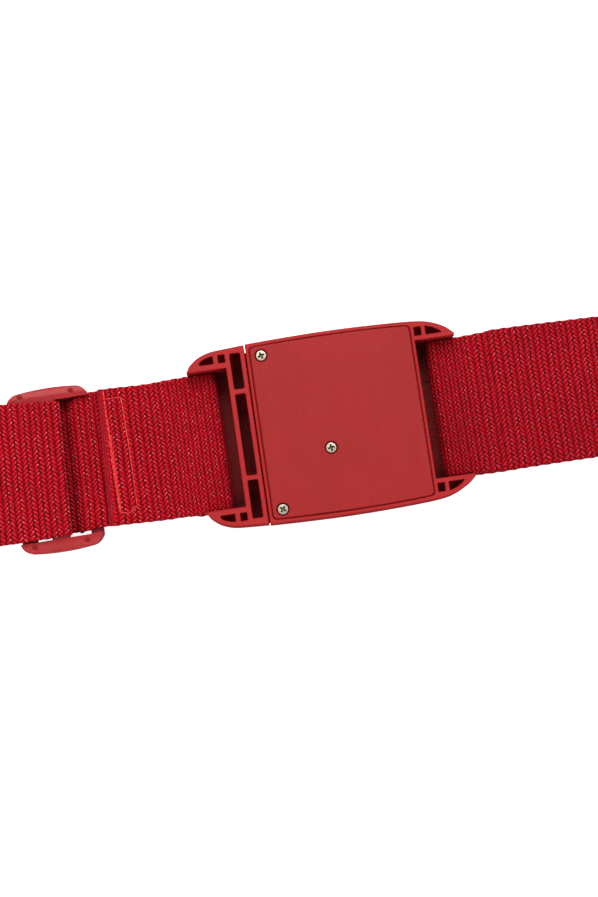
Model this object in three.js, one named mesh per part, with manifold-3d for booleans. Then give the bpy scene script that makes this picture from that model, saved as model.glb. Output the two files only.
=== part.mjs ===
// Luggage strap: a closed loop of 50 mm webbing with a combination-lock side-release
// buckle and a three-bar slider. Millimetres, +Z up. The loop lies flat, the back of
// the buckle faces up and the return run passes under it. Origin: centre of the
// footprint, on the surface that the strap lies on. +X runs along the strap.
import * as THREE from 'three';
import { mergeVertices } from 'three/addons/utils/BufferGeometryUtils.js';
import Module from 'manifold-3d';

const wasm = await Module();
wasm.setup();

// ---------------------------------------------------------------- driving dimensions
const GAP = 0.3;                  // clearance kept between neighbouring solids
const WEB_T = 1.4;                // webbing thickness
const WEB_W = 49.6;               // webbing width
const LOOP_HALF = 250;            // half length of the flattened loop
const FOLD_R_IN = 2.6;            // centreline radius of the inner end fold
const Z_OUT = WEB_T / 2;          // centre height of the outer return run
const Z_IN = Z_OUT + WEB_T + GAP; // centre height of the inner return run
const Z_FRONT = 2 * (WEB_T + GAP);// front face of the buckle
const Z_RIM = 19.6;               // back rim of housing and insert
const Z_COVER = 19.8;             // outer face of the back cover
const COVER_T = 1.8;              // back cover thickness
const COVER_INSET = 1.35;         // rim showing round the back cover
const BASE_T = 2.8;               // front wall of the housing
const EAR_Y = 25.25;              // half width of the webbing slots
const SEAM_IN = -27.75;           // seam side of the insert
const SEAM_HO = -27.25;           // seam side of the housing
const BAR_Z = 11.6;               // centre height of the webbing bars
const BAR_H = 3.0;                // thickness of the webbing bars
const WRAP_R = BAR_H / 2 + GAP + WEB_T / 2; // centreline radius of the wraps
const HOUSING_WRAP_X = 41.0;      // wrap centre on the housing bar
const INSERT_WRAP_X = -42.4;      // wrap centre on the insert bar
const TONGUE = { x1: -7, y: 15, z0: 10.2, z1: 12.8 };
const DIAL = { x: 14, z: 10.8, r: 6.8, w: 5.6, ys: [9, 0, -9], bore: 3.2 };
const SLIDER = { cx: -102.37, cy: -1.05, lx: 30.4, ly: 59.9, r: 4.2, turn: 0.955, lean: 0.038, bulge: 1.28, slot0: -26.4, slot1: 24.3 };
const SLIDER_BARS = { right: [-92.0, -87.2], centre: [-106.0, -99.3], left: [-117.5, -111.6] };
const WEB_LEAN = Math.tan(1.5 * Math.PI / 180); // slant of the folds where the webbing crosses the slider
const SCREWS = [[-21.9, 27.85], [-22.05, -28.15], [-1.75, -8.75]];
const FRONT_BEVEL = [2.4, 1.8];   // height and inset of the bevel round the front face
const LIP = { x: -26.3, y: 31.6, z0: 5.0, z1: 6.4 }; // lap joint that closes the seam

// outline of the buckle seen from the back, upper half, left to right
const INSERT_POINTS = [[-49.5, 25.25], [-49.75, 25.75], [-49.2, 26.6], [-48.4, 27.3], [-46.6, 28.9], [-44.8, 30.1], [-42.0, 31.2], [-39.5, 31.75], [-35, 32.1], [SEAM_IN, 32.5]];
const HOUSING_POINTS = [[SEAM_HO, 32.7], [-15, 33.1], [0, 33.35], [15, 33.15], [30, 32.55], [35, 32.15], [38.5, 31.6], [41.0, 30.8], [43.4, 29.75], [45.4, 28.55], [47.2, 27.0], [48.2, 26.0], [48.4, 25.6], [48.1, 25.25]];
function smooth(points, n) {                // the same outline as a smooth curve, without loose points on straights
  const curve = new THREE.CatmullRomCurve3(points.map(([x, y]) => new THREE.Vector3(x, y, 0)), false, 'centripetal');
  const p = curve.getPoints(n).map((v) => [v.x, v.y]);
  p[0] = points[0]; p[p.length - 1] = points[points.length - 1];
  return p.filter(([x, y], i) => !i || i === p.length - 1 || Math.hypot(x - p[i - 1][0], y - p[i - 1][1]) > 0.25);
}
const OUTLINE_INSERT = smooth(INSERT_POINTS, 44);
const OUTLINE_HOUSING = smooth(HOUSING_POINTS, 56);

const PLASTIC = new THREE.MeshStandardMaterial({ color: 0xb02a33, roughness: 0.5, metalness: 0 });
const PLASTIC_DARK = new THREE.MeshStandardMaterial({ color: 0x8c1f28, roughness: 0.55, metalness: 0 });
const SLIDER_RED = new THREE.MeshStandardMaterial({ color: 0xb8434b, roughness: 0.45, metalness: 0 });
const FABRIC = new THREE.MeshStandardMaterial({ color: 0xb0122c, roughness: 0.9, metalness: 0 });
const THREAD = new THREE.MeshStandardMaterial({ color: 0xee3328, roughness: 0.8, metalness: 0 });
const BRASS = new THREE.MeshStandardMaterial({ color: 0xc9bfa2, roughness: 0.35, metalness: 1 });
const STEEL = new THREE.MeshStandardMaterial({ color: 0xb9bcc0, roughness: 0.35, metalness: 1 });
const DIAL_BLACK = new THREE.MeshStandardMaterial({ color: 0x1b1b1d, roughness: 0.5, metalness: 0 });

// ---------------------------------------------------------------- solid helpers
function solid(geometry) {
  let g = geometry.index ? geometry : geometry.clone();
  g = g.clone();
  for (const k of Object.keys(g.attributes)) if (k !== 'position') g.deleteAttribute(k);
  g = mergeVertices(g, 1e-4);
  return new wasm.Manifold(new wasm.Mesh({
    numProp: 3,
    vertProperties: new Float32Array(g.attributes.position.array),
    triVerts: new Uint32Array(g.index.array),
  }));
}
function geometryOf(m) {
  const mesh = m.getMesh();
  const g = new THREE.BufferGeometry();
  const n = mesh.numProp, count = mesh.vertProperties.length / n;
  const pos = new Float32Array(count * 3);
  for (let i = 0; i < count; i++) for (let k = 0; k < 3; k++) pos[3 * i + k] = mesh.vertProperties[n * i + k];
  g.setAttribute('position', new THREE.BufferAttribute(pos, 3));
  g.setIndex(new THREE.BufferAttribute(new Uint32Array(mesh.triVerts), 1));
  return g;
}
function shapeOf(points) {
  const s = new THREE.Shape();
  points.forEach(([x, y], i) => (i ? s.lineTo(x, y) : s.moveTo(x, y)));
  s.closePath();
  return s;
}
const area = (p) => p.reduce((a, [x, y], i) => { const [u, v] = p[(i + 1) % p.length]; return a + x * v - u * y; }, 0) / 2;
function tidy(points) {                   // counter-clockwise, without points on straight stretches
  const p = area(points) < 0 ? [...points].reverse() : [...points];
  for (let i = 0; i < p.length; i++) {
    const [ax, ay] = p[(i + p.length - 1) % p.length], [bx, by] = p[i], [cx, cy] = p[(i + 1) % p.length];
    const l = Math.hypot(cx - ax, cy - ay);
    if (Math.abs((bx - ax) * (cy - ay) - (by - ay) * (cx - ax)) < 2e-3 * l) { p.splice(i, 1); i--; }
  }
  return p;
}
function prism(points, z0, z1) {          // outline in X, Y, extruded along Z
  const p = tidy(points);
  const g = new THREE.ExtrudeGeometry(shapeOf(p), { depth: z1 - z0, bevelEnabled: false });
  g.translate(0, 0, z0);
  return g;
}
function shell(points, z0, z1, seamX) {   // prism whose front edge is bevelled, except along the seam
  const [h, inset] = FRONT_BEVEL;
  const p = tidy(points);
  const farX = Math.max(...p.map(([x]) => Math.abs(x - seamX))), farY = Math.max(...p.map(([, y]) => Math.abs(y)));
  const kx = 1 - inset / farX, ky = 1 - inset / farY;
  const n = p.length, pos = [], index = [];
  for (const [x, y] of p) pos.push(seamX + (x - seamX) * kx, y * ky, z0);
  for (const [x, y] of p) pos.push(x, y, z0 + h);
  for (let i = 0; i < n; i++) { const j = (i + 1) % n; index.push(i, j, n + j, i, n + j, n + i); }
  const caps = THREE.ShapeUtils.triangulateShape(p.map(([x, y]) => new THREE.Vector2(x, y)), []);
  for (const [i, j, k] of caps) index.push(k, j, i, n + i, n + j, n + k);
  const g = new THREE.BufferGeometry();
  g.setAttribute('position', new THREE.Float32BufferAttribute(pos, 3));
  g.setIndex(index);
  return join(solid(g), prism(points, z0 + h, z1));
}
function prismY(points, y0, y1) {         // outline in X, Z, extruded along Y
  const p = tidy(points);
  const g = new THREE.ExtrudeGeometry(shapeOf(p), { depth: y1 - y0, bevelEnabled: false });
  g.rotateX(Math.PI / 2);
  g.translate(0, y1, 0);
  return g;
}
function block(x0, x1, y0, y1, z0, z1) {
  const g = new THREE.BoxGeometry(x1 - x0, y1 - y0, z1 - z0);
  g.translate((x0 + x1) / 2, (y0 + y1) / 2, (z0 + z1) / 2);
  return g;
}
function roundedRect(x0, x1, y0, y1, r, seg = 4) {
  const out = [];
  for (const [cx, cy, a] of [[x1 - r, y1 - r, 0], [x0 + r, y1 - r, 1], [x0 + r, y0 + r, 2], [x1 - r, y0 + r, 3]]) {
    for (let i = 0; i <= seg; i++) {
      const t = (a + i / seg) * Math.PI / 2;
      out.push([cx + r * Math.cos(t), cy + r * Math.sin(t)]);
    }
  }
  return out;
}
function rod(r, x, y, z0, z1, seg = 16) { // cylinder along Z
  const g = new THREE.CylinderGeometry(r, r, z1 - z0, seg);
  g.rotateX(Math.PI / 2);
  g.translate(x, y, (z0 + z1) / 2);
  return g;
}
function rodY(r, x, z, y0, y1, seg = 20) { // cylinder along Y
  const g = new THREE.CylinderGeometry(r, r, y1 - y0, seg);
  g.translate(x, (y0 + y1) / 2, z);
  return g;
}
function lathe(profile, x, y, seg = 20) { // profile of [r, z] from axis to axis, about Z
  const pts = profile.map(([r, z]) => new THREE.Vector2(r, z));
  const g = new THREE.LatheGeometry(pts, seg);
  g.rotateX(Math.PI / 2);
  g.translate(x, y, 0);
  return g;
}
const cut = (a, ...bs) => bs.reduce((m, b) => m.subtract(solid(b)), a);
const join = (a, ...bs) => bs.reduce((m, b) => m.add(solid(b)), a);

// upper half outline mirrored into a closed outline
const mirrored = (half) => [...half, ...[...half].reverse().map(([x, y]) => [x, -y])];
function yAt(half, x) {
  for (let i = 1; i < half.length; i++) {
    const [x0, y0] = half[i - 1], [x1, y1] = half[i];
    if (x <= x1) return y0 + (y1 - y0) * (x - x0) / (x1 - x0);
  }
  return half[half.length - 1][1];
}

const group = new THREE.Group();
function add(name, geometry, material) {
  const mesh = new THREE.Mesh(geometry, material);
  mesh.name = name;
  group.add(mesh);
  return mesh;
}

// ---------------------------------------------------------------- webbing helpers
const ramp = (x, x0, x1, a, b) => { // smooth change from a at x0 to b at x1
  const s = Math.min(1, Math.max(0, (x - x0) / (x1 - x0)));
  return a + (b - a) * (1 - Math.cos(Math.PI * s)) / 2;
};
// lateral drift and slant that the webbing takes near the slider
const drift = (x, z) => (x > 0 ? ramp(x, 40, 100, 0.1, 0.5) : x > -86
  ? (z > zA(x) + 0.85 ? ramp(x, -84, -62, 0.4, -0.1) : -0.1) : x > -110 ? ramp(x, -98, -86, -1.0, -0.1) : ramp(x, -205, -130, 0, -1.0));
const slant = (x) => WEB_LEAN * (x < -120 ? ramp(x, -175, -125, 0, 1) : ramp(x, -90, -84, 1, 0));
function warp(geometry) {
  const p = geometry.attributes.position;
  for (let i = 0; i < p.count; i++) {
    const x = p.getX(i), z = p.getZ(i), y = p.getY(i) + drift(x, z);
    p.setXYZ(i, x + slant(x) * (y - SLIDER.cy), y, z);
  }
  return geometry;
}
function run(f, xs) { return xs.map((x) => [x, f(x)]); }
function steps(a, b, n) { return Array.from({ length: n + 1 }, (_, i) => a + (b - a) * i / n); }
function arc(cx, cz, r, a0, a1, n) {
  return steps(a0, a1, n).map((d) => { const t = d * Math.PI / 180; return [cx + r * Math.cos(t), cz + r * Math.sin(t)]; });
}
function normals(path) {
  return path.map((_, i) => {
    const [x0, z0] = path[Math.max(0, i - 1)], [x1, z1] = path[Math.min(path.length - 1, i + 1)];
    const l = Math.hypot(x1 - x0, z1 - z0);
    return [-(z1 - z0) / l, (x1 - x0) / l];
  });
}
function offset(path, d) {
  const n = normals(path);
  return path.map(([x, z], i) => [x + n[i][0] * d, z + n[i][1] * d]);
}
function clean(path) {
  return path.filter(([x, z], i) => !i || Math.hypot(x - path[i - 1][0], z - path[i - 1][1]) > 0.05);
}
function ply(path, y0 = -WEB_W / 2, y1 = WEB_W / 2) {
  const p = clean(path);
  return warp(prismY([...offset(p, WEB_T / 2), ...offset(p, -WEB_T / 2).reverse()], y0, y1));
}

// centre heights of each run of webbing over X
const UP_IN = Z_FRONT + WEB_T / 2;             // inner run resting on the return run
const UP_OUT = UP_IN + WEB_T + GAP;            // outer run resting on the inner one
const STEP = WEB_T + GAP;
const FOLD_Z = Z_IN + FOLD_R_IN;               // centre height of both end folds
const FOLD_X = LOOP_HALF - (FOLD_R_IN + STEP + WEB_T / 2);
const OVER_BAR = 7.0;                          // webbing centre over the slider's side bars
const zA = (x) => (x > -84 ? ramp(x, -72, -48, OVER_BAR, BAR_Z - WRAP_R) : x > -99
  ? ramp(x, -98.0, -94.6, UP_IN, OVER_BAR) : x > -114
    ? ramp(x, -111.4, -106.4, OVER_BAR, UP_IN) : ramp(x, -143, -118.5, UP_IN, OVER_BAR));
const zB = (x) => { const lo = zA(x) + STEP; const s = ramp(x, -66, -46, 0, 1); return lo + (BAR_Z + WRAP_R - lo) * s; };
const NOSE_X = -100.6;                         // centre of the fold round the slider's centre bar
const C_TOP = 10.4;                            // webbing centre over the slider's centre bar
const zC = (x) => ramp(x, -153, -119, UP_OUT, C_TOP);
const zE = (x) => ramp(x, 48, 125, BAR_Z - WRAP_R, UP_IN);
const zD = (x) => ramp(x, 50, 150, BAR_Z + WRAP_R, UP_OUT);
const endLift = (x) => ramp(Math.abs(x), 205, 242, 0, FOLD_Z + FOLD_R_IN - UP_IN);

// ---------------------------------------------------------------- housing
{
  const outline = mirrored(OUTLINE_HOUSING);
  let m = shell(outline, Z_FRONT, Z_RIM, SEAM_HO);
  // seat of the back cover
  const coverHalf = (inset, x0, x1) => steps(x0, x1, 8).map((x) => [x, yAt(OUTLINE_HOUSING, x) - inset]);
  const rounded = (half, r) => half.flatMap(([x, y], i) => {   // with round corners of radius r
    const s = i === 0 ? 1 : -1;
    if (i > 0 && i < half.length - 1) return [[x, y]];
    const c = [0, 0.08, 0.29, 0.62, 1].map((k, j, a) => [x + s * k * r, y - a[a.length - 1 - j] * r]);
    return i === 0 ? c : c.reverse();
  });
  m = cut(m, prism(mirrored(rounded(coverHalf(COVER_INSET - GAP / 2, -26.15, 32.65), 1.6)), Z_COVER - COVER_T - GAP, 25));
  // inner cavity
  m = cut(m, prism(mirrored(coverHalf(3.2, -24.6, 31.0)), Z_FRONT + BASE_T, 25));
  // webbing slot, open at the outer end, with the front wall running under it
  m = cut(m, block(33.7, 60, -EAR_Y, EAR_Y, Z_FRONT + 2, 25));
  // webbing bar
  const bar = prismY(roundedRect(HOUSING_WRAP_X - BAR_H / 2, 46.8, BAR_Z - BAR_H / 2, BAR_Z + BAR_H / 2, 1.4, 4), -EAR_Y - 1, EAR_Y + 1);
  m = join(m, bar);
  // blind pockets in the ears
  for (const s of [1, -1]) {
    const square = [[33.9, 26.9], [36.5, 26.9], [36.5, 30.1], [33.9, 30.1]].map(([x, y]) => [x, s * y]);
    const tri = [[38.0, 26.9], [43.9, 26.9], [42.6, 28.1], [40.6, 29.3], [38.0, 30.1]].map(([x, y]) => [x, s * y]);
    m = cut(m, prism(square, 7, 25), prism(tri, 7, 25));
  }
  // screw bosses
  for (const [i, [x, y]] of SCREWS.entries()) {
    m = join(m, rod(2.5, x, y, Z_FRONT + 1, i === 2 ? 15.9 : Z_COVER - COVER_T - GAP, 16));
    m = cut(m, rod(1.25, x, y, 10.6, 25, 12));
  }
  // rebate for the insert's lip, and entries for the tongue and its two guides
  m = cut(m, block(-30, LIP.x + GAP, -LIP.y - 0.4, LIP.y + 0.4, LIP.z0 - GAP, LIP.z1 + GAP));
  m = cut(m, block(-30, -24, -TONGUE.y - 0.4, TONGUE.y + 0.4, TONGUE.z0 - 0.4, TONGUE.z1 + 0.4));
  for (const s of [1, -1]) m = cut(m, block(-30, -24, s * 21.5 - 1.9, s * 21.5 + 1.9, 9.2, 13.8));
  // front: recessed dial panel, dial windows, button opening, code-set hole
  m = cut(m, prism(roundedRect(3.5, 29.5, -16, 16, 2, 3), 0, Z_FRONT + 1.4));
  for (const y of DIAL.ys) m = cut(m, block(DIAL.x - 5.5, DIAL.x + 5.5, y - DIAL.w / 2 - 0.3, y + DIAL.w / 2 + 0.3, 0, 8));
  m = cut(m, prism(roundedRect(-19.3, -8.7, -9.3, 9.3, 2.3, 3), 0, 8));
  m = cut(m, rod(1.6, 26.9, 0, 0, 8, 12));
  add('housing_shell', geometryOf(m), PLASTIC);

  // back cover with countersunk holes
  let c = solid(prism(mirrored(rounded(coverHalf(COVER_INSET + GAP / 2, -25.85, 32.35), 1.3)), Z_COVER - COVER_T, Z_COVER));
  for (const [x, y] of SCREWS) c = cut(c, lathe([[0, 17], [1.3, 17], [1.3, 18.35], [2.25, 19.3], [2.25, 21], [0, 21]], x, y, 20));
  add('back_cover', geometryOf(c), PLASTIC);
}

// cover screws, countersunk with a cross recess
for (const [i, [x, y]] of SCREWS.entries()) {
  let s = solid(lathe([[0, 11.2], [0.7, 11.6], [0.95, 12.2], [0.95, 18.3], [1.95, 19.25], [1.95, 19.5], [0, 19.65]], x, y, 20));
  s = cut(s, block(x - 1.15, x + 1.15, y - 0.22, y + 0.22, 18.9, 21), block(x - 0.22, x + 0.22, y - 1.15, y + 1.15, 18.9, 21));
  add(`cover_screw_${i + 1}`, geometryOf(s), BRASS);
}

// ---------------------------------------------------------------- insert
{
  const half = OUTLINE_INSERT;
  let m = shell(mirrored(half), Z_FRONT, Z_RIM, SEAM_IN);
  m = join(m, block(SEAM_IN - 1, LIP.x, -LIP.y, LIP.y, LIP.z0, LIP.z1));
  m = cut(m, block(-60, -35, -EAR_Y, EAR_Y, Z_FRONT + 2, 25));
  m = join(m, prismY(roundedRect(-47.5, INSERT_WRAP_X + BAR_H / 2, BAR_Z - BAR_H / 2, BAR_Z + BAR_H / 2, 1.4, 4), -EAR_Y - 1, EAR_Y + 1));
  for (const s of [1, -1]) {
    const square = [[-37.5, 27.3], [-35, 27.3], [-35, 30.2], [-37.5, 30.2]].map(([x, y]) => [x, s * y]);
    const tri = [[-39.3, 27.3], [-39.3, 30.2], [-41.8, 29.7], [-43.8, 28.8], [-44.6, 27.9], [-44.2, 27.3]].map(([x, y]) => [x, s * y]);
    m = cut(m, prism(square, 7, 25), prism(tri, 7, 25));
  }
  for (const [y0, y1] of [[17, 30.1], [-14.4, 15.2], [-29.9, -16.1]]) {
    m = cut(m, prism(roundedRect(-33.2, -29.4, y0, y1, 0.5, 2), 7, 25));
  }
  // tongue with the catch window, and two side guides
  m = join(m, block(-29, TONGUE.x1, -TONGUE.y, TONGUE.y, TONGUE.z0, TONGUE.z1));
  m = cut(m, block(-19, -12.6, -5.5, 5.5, 5, 18));
  for (const s of [1, -1]) m = join(m, block(-29, -14, s * 21.5 - 1.5, s * 21.5 + 1.5, 9.6, 13.4));
  add('insert_frame', geometryOf(m), PLASTIC);
}

// ---------------------------------------------------------------- lock, inside the housing
for (const [i, y] of DIAL.ys.entries()) {
  // dial ring, twenty flats so that every digit has its own face
  let d = solid(rodY(DIAL.r, DIAL.x, DIAL.z, y - DIAL.w / 2, y + DIAL.w / 2, 20));
  d = cut(d, rodY(DIAL.bore, DIAL.x, DIAL.z, y - 10, y + 10, 16));
  add(`dial_${i + 1}`, geometryOf(d), DIAL_BLACK);
  // hub: barrel inside the dial and a gated flange beside it
  let h = solid(rodY(DIAL.bore - GAP, DIAL.x, DIAL.z, y - DIAL.w / 2, y + DIAL.w / 2 + 0.5, 16));
  h = join(h, rodY(4.2, DIAL.x, DIAL.z, y + DIAL.w / 2 + GAP, y + DIAL.w / 2 + 2.3, 20));
  h = cut(h, rodY(1.8, DIAL.x, DIAL.z, y - 10, y + 10, 12));
  h = cut(h, block(DIAL.x - 6, DIAL.x - 3.1, y + DIAL.w / 2 + 0.6, y + 9, DIAL.z - 0.9, DIAL.z + 0.9));
  add(`dial_hub_${i + 1}`, geometryOf(h), BRASS);
}
add('dial_axle', geometryOf(solid(rodY(1.5, DIAL.x, DIAL.z, -17.2, 17.2, 12))), STEEL);
{
  let c = solid(block(9.2, 23.9, 14.9, 16.3, 6.6, 17.4));
  c = join(c, block(9.2, 23.9, -16.3, -14.9, 6.6, 17.4), block(22.5, 23.9, -16, 16, 6.6, 17.4));
  c = join(c, block(-4.4, 9.6, -16.3, -12.4, 16.2, 17.4), block(-4.4, 1.0, -12.6, -5.2, 16.2, 17.4));
  c = cut(c, rodY(1.8, DIAL.x, DIAL.z, -30, 30, 12), rod(1.3, SCREWS[2][0], SCREWS[2][1], 10, 20, 12));
  add('dial_cradle', geometryOf(c), STEEL);
  let d = solid(block(21.4, 21.9, -12.5, 12.5, 7.0, 15.5));
  for (const y of [-4.5, 4.5]) d = cut(d, block(20, 23, y - 0.6, y + 0.6, 9, 20));
  add('detent_spring', geometryOf(d), STEEL);
}
// release button with the post that lifts the catch and the comb that feels the gates
{
  let b = solid(prism(roundedRect(-19, -9, -9, 9, 2, 3), Z_FRONT + 0.2, 6.4));
  b = join(b, block(-20.2, -7.8, -10.2, 10.2, 6.5 - 0.1, 7.4));
  add('release_button', geometryOf(b), PLASTIC_DARK);
  let p = solid(block(-18.6, 4.2, -3.6, 3.6, 7.7, 8.5));
  p = join(p, block(-17.4, -14.2, -2.8, 2.8, 8.4, 9.9));
  p = join(p, block(3.4, 6.7, -6.5, 14.6, 7.7, 8.5), block(-1.2, 3.6, 7.2, 12.2, 7.7, 8.5));
  p = join(p, block(5.5, 6.7, -6.5, 14.6, 8.4, 12.2));
  for (const y of DIAL.ys) p = join(p, block(6.6, 9.3, y + DIAL.w / 2 + 0.6, y + DIAL.w / 2 + 2.0, 9.2, 12.2));
  add('release_comb', geometryOf(p), STEEL);
}
function coil(x, y, z0, z1, r, wire, turns, perTurn = 10) {
  const pts = [];
  const n = Math.round(turns * perTurn);
  for (let i = 0; i <= n; i++) {
    const a = 2 * Math.PI * i / perTurn;
    pts.push(new THREE.Vector3(x + r * Math.cos(a), y + r * Math.sin(a), z0 + wire + (z1 - z0 - 2 * wire) * i / n));
  }
  const path = new THREE.CatmullRomCurve3(pts);
  const section = new THREE.Shape();
  for (let k = 0; k < 5; k++) {
    const t = 2 * Math.PI * k / 5;
    k ? section.lineTo(wire * Math.cos(t), wire * Math.sin(t)) : section.moveTo(wire, 0);
  }
  section.closePath();
  return new THREE.ExtrudeGeometry(section, { steps: n, extrudePath: path, bevelEnabled: false });
}
add('button_spring', geometryOf(solid(coil(1.0, 9.7, 8.8, 17.7, 1.6, 0.28, 4))), STEEL);
{
  let p = solid(rod(1.3, 26.9, 0, 4.2, 9.0, 12));
  p = join(p, rod(2.3, 26.9, 0, 6.5, 7.5, 12));
  add('code_set_pin', geometryOf(p), STEEL);
  add('code_set_spring', geometryOf(solid(coil(26.9, 0, 9.3, 17.7, 1.3, 0.25, 4))), STEEL);
}
// sprung catch over the tongue: a leaf with a ramped hook in the tongue's window
{
  const prof = [[-23.5, 14.2], [-18.4, 14.2], [-17.2, 11.7], [-14.0, 11.7], [-14.0, 14.2], [-5.2, 14.2], [-5.2, 14.8], [-23.5, 14.8]];
  add('catch_leaf', geometryOf(solid(prismY(prof, -4.5, 4.5))), STEEL);
}

// ---------------------------------------------------------------- slider
{
  const { cx, cy, lx, ly, r, turn, lean, bulge, slot0, slot1 } = SLIDER;
  const y0 = cy - ly / 2, y1 = cy + ly / 2;
  const zb = Z_FRONT, zt = Z_FRONT + 6.0;
  const corners = roundedRect(cx - lx / 2, cx + lx / 2, y0, y1, r, 8);
  const between = (a, b, y) => steps(a, b, 12).slice(1, -1).map((x) => [x, y]);
  const outline = [...corners.slice(0, 9), ...between(cx + lx / 2 - r, cx - lx / 2 + r, y1), ...corners.slice(9, 27), ...between(cx - lx / 2 + r, cx + lx / 2 - r, y0), ...corners.slice(27)];
  let m = solid(prism(outline.map(([x, y]) => [x, y - Math.sign(y - cy) * bulge * ((x - cx) / (lx / 2)) ** 2]), zb, zt));
  // the slots go right through, the side bars are low and the centre bar is high
  m = cut(m, block(SLIDER_BARS.left[0] - 5, SLIDER_BARS.right[1] + 5, slot0, slot1, zb - 5, zt + 5));
  const barOf = ([a, b], z0, z1, rr) => prismY(roundedRect(a, b, z0, z1, rr, 4), slot0 - 1, slot1 + 1);
  m = join(m, barOf(SLIDER_BARS.right, zb, zb + 2.6, 1.2), barOf(SLIDER_BARS.left, zb, zb + 2.6, 1.2), barOf(SLIDER_BARS.centre, zb + 3.4, zt, 1.2));
  const g = geometryOf(m);
  g.translate(-cx, -cy, 0);
  g.applyMatrix4(new THREE.Matrix4().set(1, lean, 0, 0, 0, 1, 0, 0, 0, 0, 1, 0, 0, 0, 0, 1));
  const mesh = add('slider', g, SLIDER_RED);
  mesh.position.set(cx, cy, 0);
  mesh.rotation.z = turn * Math.PI / 180;
}

// ---------------------------------------------------------------- webbing, one strip shown run by run
const A_END = -85.0;
// sewn loop round the insert bar: end ply on top, running ply underneath
{
  const top = run(zB, [-84.3, -72, -66, -62, -58, -54, -50, -46, INSERT_WRAP_X - 0.5]);
  const wrap = arc(INSERT_WRAP_X, BAR_Z, WRAP_R, 90, -90, 10);
  const low = run(zA, [INSERT_WRAP_X - 0.5, -48, -54, -60, -66, -72, A_END]);
  add('webbing_insert_loop', ply([...top, ...wrap, ...low]), FABRIC);
}
// running ply woven over and under the slider's bars
{
  const xs = [A_END - GAP, -89, ...steps(-94.6, -98.0, 6), -102, ...steps(-106.4, -111.4, 6), -114, -118.5, -122];
  const a = run(zA, xs);
  add('webbing_through_slider', ply(a), FABRIC);
  // loop round the centre bar: long ply over it, tail ply under it and up over the left bar
  const tailBase = run(zA, [NOSE_X, -103, ...steps(-106.4, -111.4, 6), -114, -118.5, -122, -126, -130, -135]);
  const tail = offset(tailBase, -STEP);
  const nose = arc(NOSE_X, (C_TOP + UP_OUT) / 2, (C_TOP - UP_OUT) / 2, 90, -90, 10);
  const top = run(zC, [-137, -133, -129, -125, -122, -119, NOSE_X - 0.5]);
  add('webbing_slider_loop', ply([...top, ...nose, ...tail.slice(1)]), FABRIC);
}
add('webbing_left_run_inner', ply(run(zA, [-122 - GAP, -126, -130, -135, -143, -205])), FABRIC);
add('webbing_left_run_outer', ply(run(zC, [-137 - GAP, -141, -146, -153, -175, -205])), FABRIC);
for (const [side, s] of [['left', -1], ['right', 1]]) {
  const start = s < 0 ? -205 - GAP : 0;
  for (const [name, zUp, zLow, r] of [['inner', UP_IN, Z_IN, FOLD_R_IN], ['outer', UP_OUT, Z_OUT, FOLD_R_IN + STEP]]) {
    const upper = s < 0
      ? run((x) => zUp + endLift(x), [start, ...steps(-210, -242, 5)])
      : run((x) => (name === 'inner' ? zE(x) : zD(x)) + endLift(x), [60 + GAP, 75, 90, 105, 115, 125, 137, 150, 205, ...steps(210, 242, 5)]);
    const fold = arc(s * FOLD_X, FOLD_Z, r, 90, s > 0 ? -90 : 270, 12);
    const lower = [[s * (FOLD_X - 30), zLow], [s * (GAP / 2), zLow]];
    add(`webbing_${side}_${name}`, ply([...upper, ...fold, ...lower]), FABRIC);
  }
}
// loop round the housing bar
{
  const top = run(zD, [60, 55, 50, HOUSING_WRAP_X + 0.5]);
  const wrap = arc(HOUSING_WRAP_X, BAR_Z, WRAP_R, 90, 270, 10);
  const low = run(zE, [HOUSING_WRAP_X + 0.5, 48, 54, 60]);
  add('webbing_housing_loop', ply([...top, ...wrap, ...low]), FABRIC);
}
// box stitching, a flat frame of thread laid on the webbing
function stitchFrame(x0, x1, y0, y1, w, h, top) {
  const xs = steps(x0, x1, 4), xi = steps(x0 + w, x1 - w, 4);
  const outer = [...xs.map((x) => [x, y0]), ...[...xs].reverse().map((x) => [x, y1])];
  const inner = [...xi.map((x) => [x, y0 + w]), ...[...xi].reverse().map((x) => [x, y1 - w])];
  const s = shapeOf(outer);
  s.holes.push(new THREE.Path([...inner].reverse().map(([x, y]) => new THREE.Vector2(x, y))));
  const g = new THREE.ExtrudeGeometry(s, { depth: h, bevelEnabled: false });
  const p = g.attributes.position;
  for (let i = 0; i < p.count; i++) p.setZ(i, p.getZ(i) + top(p.getX(i)) + WEB_T / 2 + GAP);
  return warp(g);
}
add('stitch_insert_loop', stitchFrame(-81.4, -74.2, -20.6, 21.6, 0.9, 0.45, zB), THREAD);
add('stitch_slider_loop', stitchFrame(-133, -125, -20.6, 21.0, 0.9, 0.45, zC), THREAD);

export default group;
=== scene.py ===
import math

import bpy
import bmesh
import numpy as np
from mathutils import Matrix, Vector
from mathutils.geometry import tessellate_polygon


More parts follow.
